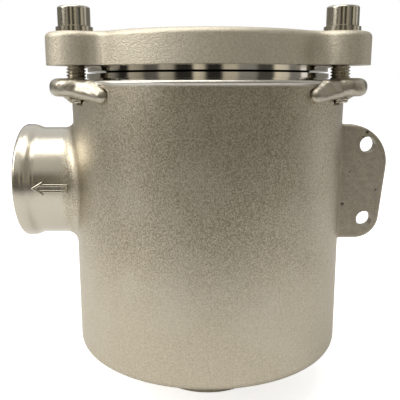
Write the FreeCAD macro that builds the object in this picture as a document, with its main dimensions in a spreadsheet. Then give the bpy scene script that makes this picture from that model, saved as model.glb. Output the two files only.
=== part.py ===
"""Sea water strainer with a bottom inlet, a side outlet and a lid held by three cap screws.

Millimetres, +Z up.  The origin is the centre of the inlet's end face, on the axis of the body.
The outlet points along -X, the mounting lug along +X, and two of the three lid screws face -Y.
"""
import FreeCAD, Part
import math
import os

import Sketcher
from FreeCAD import Placement, Rotation, Vector

SIZES = {
    # cast body
    "body_radius": 61.5,
    "wall": 5.5,
    "floor_height": 20.0,
    "floor_thickness": 6.0,
    "base_corner": 4.7,
    "cavity_corner": 5.0,
    "shoulder_height": 143.0,
    "lip_height": 2.1,
    "lip_proud": 0.8,
    "rim_inset": 6.8,
    "rim_height": 3.0,
    "relief_height": 1.0,
    "relief_depth": 0.7,
    "rim_land": 13.7,
    "mouth_depth": 10.0,
    "mouth_taper": 9.0,
    # pipe ends, both with an inside pipe thread
    "pipe_thread_radius": 20.95,
    "pipe_thread_depth": 1.45,
    "pipe_thread_length": 18.0,
    "neck_wall": 3.85,
    "collar_proud": 1.5,
    "collar_width": 4.6,
    "collar_slope": 3.6,
    "collar_edge": 1.5,
    "collar_blend": 6.0,
    "neck_fillet": 3.0,
    "outlet_fillet": 5.5,
    "outlet_drop": 46.0,
    "outlet_length": 24.0,
    # flow arrow cast on the outlet
    "arrow_length": 16.2,
    "arrow_head": 5.2,
    "arrow_width": 6.4,
    "arrow_shaft": 3.8,
    "arrow_line": 1.25,
    "arrow_proud": 0.7,
    "arrow_round": 0.35,
    "arrow_inset": 8.3,
    # mounting lug
    "lug_width": 24.5,
    "lug_lean": 5.0,
    "lug_drop": 47.0,
    "lug_height": 54.2,
    "lug_thickness": 6.0,
    "lug_top_corner": 18.0,
    "lug_low_corner": 11.0,
    "lug_edge": 1.4,
    "lug_fillet": 3.0,
    "lug_hole_radius": 3.75,
    "lug_hole_offset": 13.5,
    "lug_hole_spacing": 35.5,
    # ears and screws
    "screw_offset": 0.8,
    "ear_radius": 11.0,
    "ear_thickness": 7.3,
    "ear_rise": 0.9,
    "ear_round": 3.2,
    "wing_reach": 12.8,
    "wing_root": 22.0,
    "wing_root_inset": 4.1,
    "wing_tip_radius": 9.5,
    "wing_thickness": 6.4,
    "wing_round": 2.7,
    "screw_radius": 4.0,
    "screw_length": 30.0,
    "screw_chamfer": 0.9,
    "head_radius": 6.5,
    "head_height": 8.0,
    "head_round": 0.9,
    "socket_flats": 6.0,
    "socket_depth": 4.0,
    "washer_radius": 7.4,
    "washer_thickness": 2.0,
    "washer_gap": 1.6,
    "washer_bore_clearance": 0.1,
    "thread_clearance": 0.05,
    # lid
    "lid_inset": 3.5,
    "lid_thickness": 13.0,
    "lid_ear_radius": 11.8,
    "lid_flank": 8.0,
    "lid_edge": 2.3,
    "lid_hole_clearance": 0.5,
    "facing_inset": 0.4,
    "facing_height": 2.15,
    "spigot_depth": 4.4,
    "spigot_clearance": 0.4,
    "spigot_wall": 3.4,
    "lid_hollow": 10.5,
    "lid_gap": 0.85,
    # seal
    "seal_offset": 4.0,
    "seal_groove_width": 4.4,
    "seal_groove_depth": 2.05,
    "seal_width": 3.8,
    # basket
    "seat_height": 3.0,
    "seat_width": 7.5,
    "screen_clearance": 3.0,
    "screen_sheet": 1.0,
    "perforation_radius": 3.2,
    "perforation_margin": 9.8,
    "basket_sheet": 1.5,
    "basket_floor_edge": 0.6,
    "basket_rim_height": 2.0,
    "basket_rim_clearance": 0.4,
    "basket_head_clearance": 0.3,
    "riser_clearance": 0.2,
    "riser_height": 45.0,
    "riser_dip": 4.0,
    "weld_clearance": 0.05,
    "handle_wire": 2.0,
    "handle_leg": 20.0,
    "handle_bend": 8.0,
    "handle_rise": 5.5,
}

EAR_ANGLES = {"rear": 90, "front_left": 210, "front_right": 330}
PERFORATIONS_AROUND = 14
PERFORATION_ROWS = 6

doc = FreeCAD.newDocument("sea_water_strainer")
sheet = doc.addObject("Spreadsheet::Sheet", "Sizes")
for row, (alias, number) in enumerate(SIZES.items(), 1):
    sheet.set(f"A{row}", alias)
    sheet.set(f"B{row}", str(number))
    sheet.setAlias(f"B{row}", alias)
doc.recompute()


class Size:
    """A length or ratio that knows its value and the expression that gives it."""

    def __init__(self, number, text):
        self.number = number
        self.text = text

    def __add__(self, other):
        other = as_size(other)
        return Size(self.number + other.number, f"({self.text} + {other.text})")

    def __sub__(self, other):
        other = as_size(other)
        return Size(self.number - other.number, f"({self.text} - {other.text})")

    def __mul__(self, other):
        other = as_size(other)
        return Size(self.number * other.number, f"({self.text} * {other.text})")

    def __truediv__(self, other):
        other = as_size(other)
        return Size(self.number / other.number, f"({self.text} / {other.text})")

    def __neg__(self):
        return Size(-self.number, f"(0 - {self.text})")


def as_size(item):
    """A plain number taken as a size."""
    return item if isinstance(item, Size) else Size(float(item), repr(float(item)))


class Sheet:
    """The spreadsheet's cells, read by their alias."""

    def __getattr__(self, alias):
        return Size(float(sheet.get(alias)), f"Sizes.{alias}")


s = Sheet()


def bind(item, prop, size):
    """Ties a property of an object to a size."""
    item.setExpression(prop, as_size(size).text)


# ---- heights and radii that several pieces share ----

rim_radius = s.body_radius - s.rim_inset
mouth_radius = rim_radius - s.rim_land
seal_circle = mouth_radius + s.seal_offset
screw_circle = s.body_radius + s.screw_offset
wing_root_reach = s.body_radius - s.wing_root_inset
lid_radius = s.body_radius - s.lid_inset
facing_radius = rim_radius - s.facing_inset
bore_radius = s.pipe_thread_radius - s.pipe_thread_depth
neck_radius = s.pipe_thread_radius + s.neck_wall
collar_radius = neck_radius + s.collar_proud
seat_radius = bore_radius + s.seat_width
screen_radius = mouth_radius - s.screen_clearance
outlet_reach = s.body_radius + s.outlet_length
outlet_z = s.shoulder_height - s.outlet_drop
lug_reach = s.body_radius + s.lug_width
lug_hole_reach = s.body_radius + s.lug_hole_offset
lug_z = s.shoulder_height - s.lug_drop
shoulder_z = s.shoulder_height
rim_top_z = shoulder_z + s.rim_height
facing_z = rim_top_z + s.lid_gap
lid_under_z = facing_z + s.facing_height
lid_top_z = lid_under_z + s.lid_thickness
washer_top_z = lid_top_z + s.washer_thickness
spigot_end_z = facing_z - s.spigot_depth
cavity_floor_z = s.floor_height + s.floor_thickness
cavity_radius = s.body_radius - s.wall
ear_top_z = shoulder_z + s.ear_rise
seat_z = cavity_floor_z + s.seat_height
basket_floor_top_z = seat_z + s.basket_sheet
basket_top_z = spigot_end_z - s.basket_head_clearance
screen_top_z = basket_top_z - s.basket_rim_height
screen_inner = screen_radius - s.screen_sheet
riser_radius = bore_radius - s.riser_clearance
spigot_radius = mouth_radius - s.spigot_clearance
hollow_radius = spigot_radius - s.spigot_wall
collar_end = s.collar_width + s.collar_slope


# ---- sketches ----

def new_body(name):
    body = doc.addObject("PartDesign::Body", name)
    body.Label = name
    return body


def new_sketch(body, name, plane, offset=None):
    """A sketch on one of the body's own origin planes, moved along the offset's local axis."""
    support = next(item for item in body.Origin.OriginFeatures if item.Role == plane)
    sketch = body.newObject("Sketcher::SketchObject", name)
    sketch.AttachmentSupport = [(support, "")]
    sketch.MapMode = "FlatFace"
    for axis, size in (offset or {}).items():
        bind(sketch, f"AttachmentOffset.Base.{axis}", size)
    doc.recompute()
    return sketch


def place_point(sketch, geometry, end, x, y):
    """Holds one point of a sketch at its two coordinates."""
    for kind, axis, size in (("DistanceX", -2, as_size(x)), ("DistanceY", -1, as_size(y))):
        if abs(size.number) < 1e-9:
            sketch.addConstraint(Sketcher.Constraint("PointOnObject", geometry, end, axis))
            continue
        if size.number > 0:
            constraint = Sketcher.Constraint(kind, -1, 1, geometry, end, size.number)
            text = size.text
        else:
            constraint = Sketcher.Constraint(kind, geometry, end, -1, 1, -size.number)
            text = (-size).text
        index = sketch.addConstraint(constraint)
        sketch.setExpression(f"Constraints[{index}]", text)


def draw_outline(sketch, corners):
    """A closed outline of straight runs; a corner given a third size is rounded to it."""
    points = [Vector(as_size(c[0]).number, as_size(c[1]).number, 0) for c in corners]
    count = len(corners)
    starts = list(points)
    ends = list(points)
    rounds = {}
    for i, corner in enumerate(corners):
        if len(corner) < 3:
            continue
        back = (points[i - 1] - points[i]).normalize()
        ahead = (points[(i + 1) % count] - points[i]).normalize()
        half = back.getAngle(ahead) / 2
        radius = as_size(corner[2]).number
        ends[i] = points[i] + back * (radius / math.tan(half))
        starts[i] = points[i] + ahead * (radius / math.tan(half))
        centre = points[i] + (back + ahead).normalize() * (radius / math.sin(half))
        turn = (points[i] - points[i - 1]).cross(ahead).z
        rounds[i] = (centre, radius, turn)
    lines = []
    for i in range(count):
        lines.append(sketch.addGeometry(Part.LineSegment(starts[i], ends[(i + 1) % count])))
    for i, corner in enumerate(corners):
        before = lines[i - 1]
        after = lines[i]
        if i not in rounds:
            sketch.addConstraint(Sketcher.Constraint("Coincident", before, 2, after, 1))
            place_point(sketch, after, 1, corner[0], corner[1])
            continue
        centre, radius, turn = rounds[i]
        first, last = (ends[i], starts[i]) if turn > 0 else (starts[i], ends[i])
        angles = [math.atan2(p.y - centre.y, p.x - centre.x) for p in (first, last)]
        circle = Part.Circle(centre, Vector(0, 0, 1), radius)
        arc = sketch.addGeometry(Part.ArcOfCircle(circle, angles[0], angles[1]))
        near, far = (1, 2) if turn > 0 else (2, 1)
        sketch.addConstraint(Sketcher.Constraint("Tangent", before, 2, arc, near))
        sketch.addConstraint(Sketcher.Constraint("Tangent", arc, far, after, 1))
        index = sketch.addConstraint(Sketcher.Constraint("Radius", arc, radius))
        bind(sketch, f"Constraints[{index}]", corner[2])
        apex = sketch.addGeometry(Part.Point(points[i]), True)
        sketch.addConstraint(Sketcher.Constraint("PointOnObject", apex, 1, before))
        sketch.addConstraint(Sketcher.Constraint("PointOnObject", apex, 1, after))
        place_point(sketch, apex, 1, corner[0], corner[1])
    return sketch


def draw_circle(sketch, x, y, radius):
    centre = Vector(as_size(x).number, as_size(y).number, 0)
    circle = sketch.addGeometry(Part.Circle(centre, Vector(0, 0, 1), as_size(radius).number))
    place_point(sketch, circle, 3, x, y)
    index = sketch.addConstraint(Sketcher.Constraint("Radius", circle, as_size(radius).number))
    bind(sketch, f"Constraints[{index}]", radius)
    return sketch


def outline_sketch(body, name, plane, corners, offset=None):
    return draw_outline(new_sketch(body, name, plane, offset), corners)


# ---- features ----

def revolve(body, name, sketch, axis="V_Axis", cut=False):
    kind = "PartDesign::Groove" if cut else "PartDesign::Revolution"
    feature = body.newObject(kind, name)
    feature.Profile = sketch
    feature.ReferenceAxis = (sketch, [axis])
    feature.Angle = 360
    doc.recompute()
    return feature


def pad(body, name, sketch, length, both_sides=False):
    feature = body.newObject("PartDesign::Pad", name)
    feature.Profile = sketch
    bind(feature, "Length", length)
    feature.Midplane = both_sides
    doc.recompute()
    return feature


def pocket(body, name, sketch, both_sides=False, length=None, upward=False):
    """A cut through everything, or as deep as a length; checked to have removed material."""
    before = body.Shape.Volume
    feature = body.newObject("PartDesign::Pocket", name)
    feature.Profile = sketch
    if length is None:
        feature.Type = "ThroughAll"
    else:
        bind(feature, "Length", length)
    feature.Midplane = both_sides
    feature.Reversed = upward
    doc.recompute()
    if body.Shape.Volume >= before:
        raise RuntimeError(f"{name} removes nothing")
    return feature


def polar(body, name, feature, count):
    """Repeats a feature evenly around the body's vertical axis."""
    pattern = body.newObject("PartDesign::PolarPattern", name)
    pattern.Originals = [feature]
    pattern.Axis = (axis_of(body, "Z_Axis"), [""])
    pattern.Angle = 360
    pattern.Occurrences = count
    body.Tip = pattern
    doc.recompute()
    return pattern


def axis_of(body, role):
    return next(item for item in body.Origin.OriginFeatures if item.Role == role)


def round_edges(body, name, radius, wanted):
    """Rounds each edge of the body's present shape that the test picks."""
    base = body.Tip
    picked = [f"Edge{i}" for i, edge in enumerate(base.Shape.Edges, 1) if wanted(edge)]
    if not picked:
        raise RuntimeError(f"{name} finds no edge")
    feature = body.newObject("PartDesign::Fillet", name)
    feature.Base = (base, picked)
    bind(feature, "Radius", radius)
    doc.recompute()
    return feature


def middle(edge):
    return edge.valueAt((edge.FirstParameter + edge.LastParameter) / 2)


def flat_at(edge, z):
    """True for an edge that lies wholly at one height."""
    box = edge.BoundBox
    return abs(box.ZMin - z) < 1e-4 and abs(box.ZMax - z) < 1e-4


# ---- ears: a round boss that runs into a disc through hollow flanks ----

def flank_centre(disc, boss_at, boss, flank):
    """Centre of the arc that touches the disc and the boss, for a boss on the +X axis."""
    to_axis = disc + flank
    to_boss = boss + flank
    x = (to_axis ** 2 + boss_at ** 2 - to_boss ** 2) / (2 * boss_at)
    return Vector(x, math.sqrt(to_axis ** 2 - x ** 2), 0)


def turned(point, degrees):
    return Rotation(Vector(0, 0, 1), degrees).multVec(point)


def mirrored(point):
    return Vector(point.x, -point.y, 0)


def add_arc(sketch, centre, start, end):
    """An arc that runs anticlockwise from its start to its end."""
    angles = [math.atan2(p.y - centre.y, p.x - centre.x) for p in (start, end)]
    circle = Part.Circle(centre, Vector(0, 0, 1), (start - centre).Length)
    return sketch.addGeometry(Part.ArcOfCircle(circle, angles[0], angles[1]))


def set_radius(sketch, arc, size):
    index = sketch.addConstraint(Sketcher.Constraint("Radius", arc, size.number))
    bind(sketch, f"Constraints[{index}]", size)


def draw_eared_disc(sketch, disc, boss_at, boss, flank):
    """Outline of a disc with a boss at each ear angle, all arcs touching smoothly."""
    hollow = flank_centre(disc.number, boss_at.number, boss.number, flank.number)
    seat = Vector(boss_at.number, 0, 0)
    on_disc = hollow * (disc.number / hollow.Length)
    on_boss = seat + (hollow - seat).normalize() * boss.number
    ears = sorted(EAR_ANGLES.values())
    arcs = []
    for degrees, following in zip(ears, ears[1:] + ears[:1]):
        seat_here, hollow_left, disc_left, boss_left = (
            turned(point, degrees) for point in (seat, hollow, on_disc, on_boss))
        hollow_right, disc_right, boss_right = (
            turned(mirrored(point), degrees) for point in (hollow, on_disc, on_boss))
        rise = add_arc(sketch, hollow_right, boss_right, disc_right)
        tip = add_arc(sketch, seat_here, boss_right, boss_left)
        fall = add_arc(sketch, hollow_left, disc_left, boss_left)
        run = add_arc(sketch, Vector(), disc_left, turned(mirrored(on_disc), following))
        for arc, radius in ((rise, flank), (tip, boss), (fall, flank), (run, disc)):
            set_radius(sketch, arc, radius)
        angle = math.radians(degrees)
        place_point(sketch, tip, 3, boss_at * math.cos(angle), boss_at * math.sin(angle))
        sketch.addConstraint(Sketcher.Constraint("Coincident", run, 3, -1, 1))
        arcs.append((rise, tip, fall, run))
    for (rise, tip, fall, run), following in zip(arcs, arcs[1:] + arcs[:1]):
        sketch.addConstraint(Sketcher.Constraint("Tangent", rise, 1, tip, 1))
        sketch.addConstraint(Sketcher.Constraint("Tangent", tip, 2, fall, 2))
        sketch.addConstraint(Sketcher.Constraint("Tangent", fall, 1, run, 1))
        sketch.addConstraint(Sketcher.Constraint("Tangent", run, 2, following[0], 2))
    return sketch


# ---- cast body ----

def cast_form():
    """The outside of the casting without its ears, still solid inside."""
    body = new_body("cast_form")
    lip_radius = s.body_radius + s.lip_proud
    lip_z = shoulder_z - s.lip_height
    outside = outline_sketch(body, "outside", "XZ_Plane", [
        (0, 0),
        (collar_radius, 0, s.collar_edge),
        (collar_radius, s.collar_width, s.collar_blend),
        (neck_radius, collar_end, s.collar_blend),
        (neck_radius, s.floor_height, s.neck_fillet),
        (s.body_radius, s.floor_height, s.base_corner),
        (s.body_radius, lip_z),
        (lip_radius, lip_z),
        (lip_radius, shoulder_z),
        (rim_radius, shoulder_z),
        (rim_radius, rim_top_z),
        (0, rim_top_z),
    ])
    revolve(body, "turned_outside", outside)
    neck_start = s.body_radius / 2
    outlet = outline_sketch(body, "outlet", "XZ_Plane", [
        (-outlet_reach, 0),
        (-neck_start, 0),
        (-neck_start, neck_radius),
        (collar_end - outlet_reach, neck_radius, s.collar_blend),
        (s.collar_width - outlet_reach, collar_radius, s.collar_blend),
        (-outlet_reach, collar_radius, s.collar_edge),
    ], {"y": outlet_z})
    revolve(body, "outlet_neck", outlet, axis="H_Axis")

    def joins_wall(edge):
        point = middle(edge)
        on_wall = abs(math.hypot(point.x, point.y) - s.body_radius.number) < 0.01
        from_axis = math.hypot(point.y, point.z - outlet_z.number)
        return on_wall and abs(from_axis - neck_radius.number) < 0.01

    round_edges(body, "neck_root", s.outlet_fillet, joins_wall)
    arrow = new_sketch(body, "arrow", "XZ_Plane", {"y": outlet_z})
    tail = s.arrow_inset + s.arrow_length - outlet_reach
    draw_arrow(arrow, tail, s.arrow_length, s.arrow_head, s.arrow_width / 2, s.arrow_shaft / 2)
    line = s.arrow_line
    draw_arrow(arrow, tail - line, s.arrow_length - line * 2.9, s.arrow_head - line * 2.9,
               s.arrow_width / 2 - line * 1.8, s.arrow_shaft / 2 - line)
    arrow_face = neck_radius + s.arrow_proud
    pad(body, "flow_arrow", arrow, arrow_face)

    def on_arrow_face(edge):
        box = edge.BoundBox
        return max(abs(box.YMin + arrow_face.number), abs(box.YMax + arrow_face.number)) < 1e-4

    round_edges(body, "arrow_ridges", s.arrow_round, on_arrow_face)
    add_lug(body)
    return body


def draw_arrow(sketch, tail, length, head, half_head, half_shaft):
    """An arrow that points along -X, with its tail at one X."""
    tip = tail - length
    neck = tip + head
    return draw_outline(sketch, [
        (tip, 0),
        (neck, -half_head),
        (neck, -half_shaft),
        (tail, -half_shaft),
        (tail, half_shaft),
        (neck, half_shaft),
        (neck, half_head),
    ])


def add_lug(body):
    """The upright mounting plate with its two holes."""
    low_z = lug_z - s.lug_height / 2
    top_z = lug_z + s.lug_height / 2
    root = s.body_radius - s.wall
    plate = outline_sketch(body, "lug_plate", "XZ_Plane", [
        (root, low_z),
        (lug_reach - s.lug_lean, low_z, s.lug_low_corner),
        (lug_reach, top_z, s.lug_top_corner),
        (root, top_z),
    ])
    pad(body, "lug", plate, s.lug_thickness, both_sides=True)
    half = s.lug_thickness.number / 2
    beyond = s.body_radius.number

    def top_or_low_root(edge):
        point = middle(edge)
        on_wall = abs(math.hypot(point.x, point.y) - beyond) < 0.01
        level = abs(point.z - low_z.number) < 0.01 or abs(point.z - top_z.number) < 0.01
        return on_wall and level and abs(point.y) < half

    round_edges(body, "lug_webs", s.lug_fillet, top_or_low_root)

    def rim_of_plate(edge):
        box = edge.BoundBox
        on_face = box.YLength < 1e-4 and abs(abs(box.YMin) - half) < 1e-4
        return on_face and box.XMax > beyond + s.lug_fillet.number + 0.5

    round_edges(body, "lug_rim", s.lug_edge, rim_of_plate)
    holes = new_sketch(body, "lug_holes", "XZ_Plane")
    for side in (-0.5, 0.5):
        hole_z = lug_z + s.lug_hole_spacing * side
        draw_circle(holes, lug_hole_reach, hole_z, s.lug_hole_radius)
    pocket(body, "lug_drilling", holes, both_sides=True)


def ear_plate(name, degrees, low_z, thickness, rounding, draw_plan):
    """A level plate with full round rims, turned to an ear's angle."""
    body = new_body(name)
    plan = new_sketch(body, f"{name}_plan", "XY_Plane", {"z": low_z})
    draw_plan(plan)
    pad(body, f"{name}_pad", plan, thickness)
    levels = (low_z.number, (low_z + thickness).number)
    round_edges(body, f"{name}_rim", rounding, lambda edge: any(flat_at(edge, z) for z in levels))
    body.Placement = Placement(Vector(), Rotation(Vector(0, 0, 1), degrees))
    return body


def draw_boss(sketch):
    draw_circle(sketch, screw_circle, 0, s.ear_radius)


def draw_wing(sketch):
    """A wide triangle that stands on the wall and ends in a round tip under the boss."""
    inside = wing_root_reach - s.wing_root / 2
    draw_outline(sketch, [
        (inside, -s.wing_root),
        (wing_root_reach, -s.wing_root),
        (screw_circle + s.wing_reach, 0, s.wing_tip_radius),
        (wing_root_reach, s.wing_root),
        (inside, s.wing_root),
    ])


def ear_forms():
    """Each ear: a screw boss on a wing that leaves the wall just below the lip."""
    wing_low = shoulder_z - s.lip_height - s.wing_thickness
    boss_low = ear_top_z - s.ear_thickness
    forms = []
    for name, degrees in EAR_ANGLES.items():
        forms.append(ear_plate(f"wing_{name}", degrees, wing_low, s.wing_thickness, s.wing_round, draw_wing))
        forms.append(ear_plate(f"boss_{name}", degrees, boss_low, s.ear_thickness, s.ear_round, draw_boss))
    return forms


def revolved_tool(name, corners, offset=None, axis="V_Axis"):
    """A turned solid that a later cut takes away."""
    body = new_body(name)
    revolve(body, f"{name}_turn", outline_sketch(body, f"{name}_section", "XZ_Plane", corners, offset), axis)
    return body


def body_cuts():
    """Everything that is bored, turned or cored out of the casting."""
    past = 1.0
    mouth_low = rim_top_z - s.mouth_depth
    thread = s.pipe_thread_radius
    cavity = revolved_tool("cavity", [
        (0, -past),
        (thread, -past),
        (thread, s.pipe_thread_length),
        (bore_radius, s.pipe_thread_length),
        (bore_radius, seat_z),
        (seat_radius, seat_z),
        (seat_radius, cavity_floor_z),
        (cavity_radius, cavity_floor_z, s.cavity_corner),
        (cavity_radius, mouth_low - s.mouth_taper),
        (mouth_radius, mouth_low),
        (mouth_radius, rim_top_z + past),
        (0, rim_top_z + past),
    ])
    outlet = revolved_tool("outlet_bore", [
        (-outlet_reach - past, 0),
        (-s.body_radius / 2, 0),
        (-s.body_radius / 2, bore_radius),
        (s.pipe_thread_length - outlet_reach, bore_radius),
        (s.pipe_thread_length - outlet_reach, thread),
        (-outlet_reach - past, thread),
    ], {"y": outlet_z}, "H_Axis")
    lip_radius = s.body_radius + s.lip_proud
    relief_radius = rim_radius - s.relief_depth
    shoulder = revolved_tool("shoulder_turning", [
        (relief_radius, shoulder_z),
        (lip_radius, shoulder_z),
        (lip_radius, ear_top_z + past),
        (rim_radius, ear_top_z + past),
        (rim_radius, shoulder_z + s.relief_height),
        (relief_radius, shoulder_z + s.relief_height),
    ])
    half = s.seal_groove_width / 2
    groove_z = rim_top_z - s.seal_groove_depth
    groove = revolved_tool("seal_groove", [
        (seal_circle - half, groove_z),
        (seal_circle + half, groove_z),
        (seal_circle + half, rim_top_z + past),
        (seal_circle - half, rim_top_z + past),
    ])
    tools = [cavity, outlet, shoulder, groove]
    tip_z = washer_top_z - s.screw_length
    for name, degrees in EAR_ANGLES.items():
        tapping = doc.addObject("Part::Cylinder", f"tapping_{name}")
        bind(tapping, "Radius", s.screw_radius + s.thread_clearance)
        bind(tapping, "Height", ear_top_z - tip_z + past * 2)
        bind_on_circle(tapping, degrees, tip_z - past)
        tools.append(tapping)
    return tools


def bind_on_circle(item, degrees, z=0.0):
    """Places an object upright on the screw circle at an angle."""
    angle = math.radians(degrees)
    bind(item, "Placement.Base.x", screw_circle * math.cos(angle))
    bind(item, "Placement.Base.y", screw_circle * math.sin(angle))
    bind(item, "Placement.Base.z", z)


def strainer_body():
    casting = doc.addObject("Part::MultiFuse", "casting")
    casting.Shapes = [cast_form()] + ear_forms()
    removed = doc.addObject("Part::MultiFuse", "removed")
    removed.Shapes = body_cuts()
    body = doc.addObject("Part::Cut", "strainer_body")
    body.Label = "strainer_body"
    body.Base = casting
    body.Tool = removed
    return body


# ---- lid, seal and screws ----

def strainer_lid():
    body = new_body("strainer_lid")
    plan = new_sketch(body, "lid_plan", "XY_Plane", {"z": lid_under_z})
    draw_eared_disc(plan, lid_radius, screw_circle, s.lid_ear_radius, s.lid_flank)
    pad(body, "plate", plan, s.lid_thickness)
    round_edges(body, "top_edge", s.lid_edge, lambda edge: flat_at(edge, lid_top_z.number))
    register = outline_sketch(body, "register", "XZ_Plane", [
        (hollow_radius, spigot_end_z),
        (spigot_radius, spigot_end_z),
        (spigot_radius, facing_z),
        (facing_radius, facing_z),
        (facing_radius, lid_under_z),
        (hollow_radius, lid_under_z),
    ])
    revolve(body, "turned_register", register)
    hollow = outline_sketch(body, "hollow", "XZ_Plane", [
        (0, spigot_end_z),
        (hollow_radius, spigot_end_z),
        (hollow_radius, spigot_end_z + s.lid_hollow, s.lid_edge),
        (0, spigot_end_z + s.lid_hollow),
    ])
    revolve(body, "hollow_underside", hollow, cut=True)
    holes = new_sketch(body, "screw_holes", "XY_Plane", {"z": lid_top_z})
    for degrees in EAR_ANGLES.values():
        angle = math.radians(degrees)
        draw_circle(holes, screw_circle * math.cos(angle), screw_circle * math.sin(angle),
                    s.screw_radius + s.lid_hole_clearance)
    pocket(body, "screw_drilling", holes)
    return body


def lid_o_ring():
    """The round cord as the lid holds it, flattened against the groove and the lid."""
    body = new_body("lid_o_ring")
    low_z = rim_top_z - s.seal_groove_depth
    corner = (s.seal_groove_depth + s.lid_gap) * 0.48
    half = s.seal_width / 2
    cord = outline_sketch(body, "cord", "XZ_Plane", [
        (seal_circle - half, low_z, corner),
        (seal_circle + half, low_z, corner),
        (seal_circle + half, facing_z, corner),
        (seal_circle - half, facing_z, corner),
    ])
    revolve(body, "ring", cord)
    return body


def cap_screw(name, degrees):
    """A hexagon socket cap screw, its thread left as a plain shank of full size."""
    body = new_body(f"cap_screw_{name}")
    tip_z = washer_top_z - s.screw_length
    head_z = washer_top_z + s.head_height
    section = outline_sketch(body, f"screw_section_{name}", "XZ_Plane", [
        (0, tip_z),
        (s.screw_radius - s.screw_chamfer, tip_z),
        (s.screw_radius, tip_z + s.screw_chamfer),
        (s.screw_radius, washer_top_z),
        (s.head_radius, washer_top_z),
        (s.head_radius, head_z, s.head_round),
        (0, head_z),
    ])
    revolve(body, f"turned_screw_{name}", section)
    corner = s.socket_flats / math.sqrt(3)
    turns = [math.radians(60 * i) for i in range(6)]
    hexagon = [(corner * math.cos(turn), corner * math.sin(turn)) for turn in turns]
    socket = outline_sketch(body, f"socket_{name}", "XY_Plane", hexagon, {"z": head_z})
    pocket(body, f"broached_socket_{name}", socket, length=s.socket_depth)
    bind_on_circle(body, degrees)
    return body


def spring_washer(name, degrees):
    """A split spring washer pressed flat under its screw."""
    body = new_body(f"spring_washer_{name}")
    section = outline_sketch(body, f"washer_section_{name}", "XZ_Plane", [
        (s.screw_radius + s.washer_bore_clearance, lid_top_z),
        (s.washer_radius, lid_top_z),
        (s.washer_radius, washer_top_z),
        (s.screw_radius + s.washer_bore_clearance, washer_top_z),
    ])
    revolve(body, f"washer_ring_{name}", section)
    half = s.washer_gap / 2
    lean = s.washer_thickness / 2
    split = outline_sketch(body, f"washer_split_{name}", "XZ_Plane", [
        (-half - lean, lid_top_z),
        (half - lean, lid_top_z),
        (half + lean, washer_top_z),
        (-half + lean, washer_top_z),
    ])
    pocket(body, f"split_{name}", split, length=s.washer_radius * 2)
    bind_on_circle(body, degrees)
    return body


# ---- basket ----

def basket_floor():
    body = new_body("basket_floor")
    plate = outline_sketch(body, "floor_plate", "XZ_Plane", [
        (riser_radius + s.weld_clearance, seat_z),
        (screen_radius, seat_z, s.basket_floor_edge),
        (screen_radius, basket_floor_top_z),
        (riser_radius + s.weld_clearance, basket_floor_top_z),
    ])
    revolve(body, "turned_floor", plate)
    return body


def basket_riser():
    """The tube that leads the inlet water up into the basket and keeps the catch around it."""
    body = new_body("basket_riser")
    inner = riser_radius - s.basket_sheet
    low_z = seat_z - s.riser_dip
    tube = outline_sketch(body, "riser_wall", "XZ_Plane", [
        (inner, low_z),
        (riser_radius, low_z),
        (riser_radius, low_z + s.riser_height),
        (inner, low_z + s.riser_height),
    ])
    revolve(body, "riser_tube", tube)
    return body


def basket_screen():
    """The perforated sheet, rolled into a tube, with each second row of holes set between."""
    body = new_body("basket_screen")
    wall = outline_sketch(body, "screen_wall", "XZ_Plane", [
        (screen_inner, basket_floor_top_z),
        (screen_radius, basket_floor_top_z),
        (screen_radius, screen_top_z),
        (screen_inner, screen_top_z),
    ])
    revolve(body, "rolled_sheet", wall)
    first_z = basket_floor_top_z + s.perforation_margin
    pitch = (screen_top_z - s.perforation_margin - first_z) / (PERFORATION_ROWS - 1)
    for plane, start in (("XZ_Plane", 0), ("YZ_Plane", 1)):
        rows = range(start, PERFORATION_ROWS, 2)
        holes = new_sketch(body, f"perforations_{plane}", plane)
        for i in rows:
            draw_circle(holes, 0, first_z + pitch * i, s.perforation_radius)
        column = pocket(body, f"column_{plane}", holes, length=screen_radius * 2)
        polar(body, f"around_{plane}", column, PERFORATIONS_AROUND)
    return body


def basket_rim():
    body = new_body("basket_rim")
    ring = outline_sketch(body, "rim_ring", "XZ_Plane", [
        (screen_inner, screen_top_z),
        (mouth_radius - s.basket_rim_clearance, screen_top_z),
        (mouth_radius - s.basket_rim_clearance, basket_top_z, s.basket_floor_edge),
        (screen_inner, basket_top_z),
    ])
    revolve(body, "turned_rim", ring)
    return body


def basket_handle():
    """A wire bow across the basket's mouth, its legs welded to the inside of the screen."""
    body = new_body("basket_handle")
    leg_x = screen_inner - s.handle_wire - s.weld_clearance
    bow_z = basket_top_z + s.handle_rise
    foot_z = bow_z - s.handle_bend - s.handle_leg
    path = new_sketch(body, "handle_path", "XZ_Plane")
    draw_bow(path, leg_x, foot_z, bow_z, s.handle_bend)
    section = new_sketch(body, "handle_section", "XY_Plane", {"z": foot_z})
    draw_circle(section, -leg_x, 0, s.handle_wire)
    pipe = body.newObject("PartDesign::AdditivePipe", "bent_wire")
    pipe.Profile = section
    pipe.Spine = (path, [f"Edge{i + 1}" for i in range(5)])
    doc.recompute()
    return body


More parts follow.
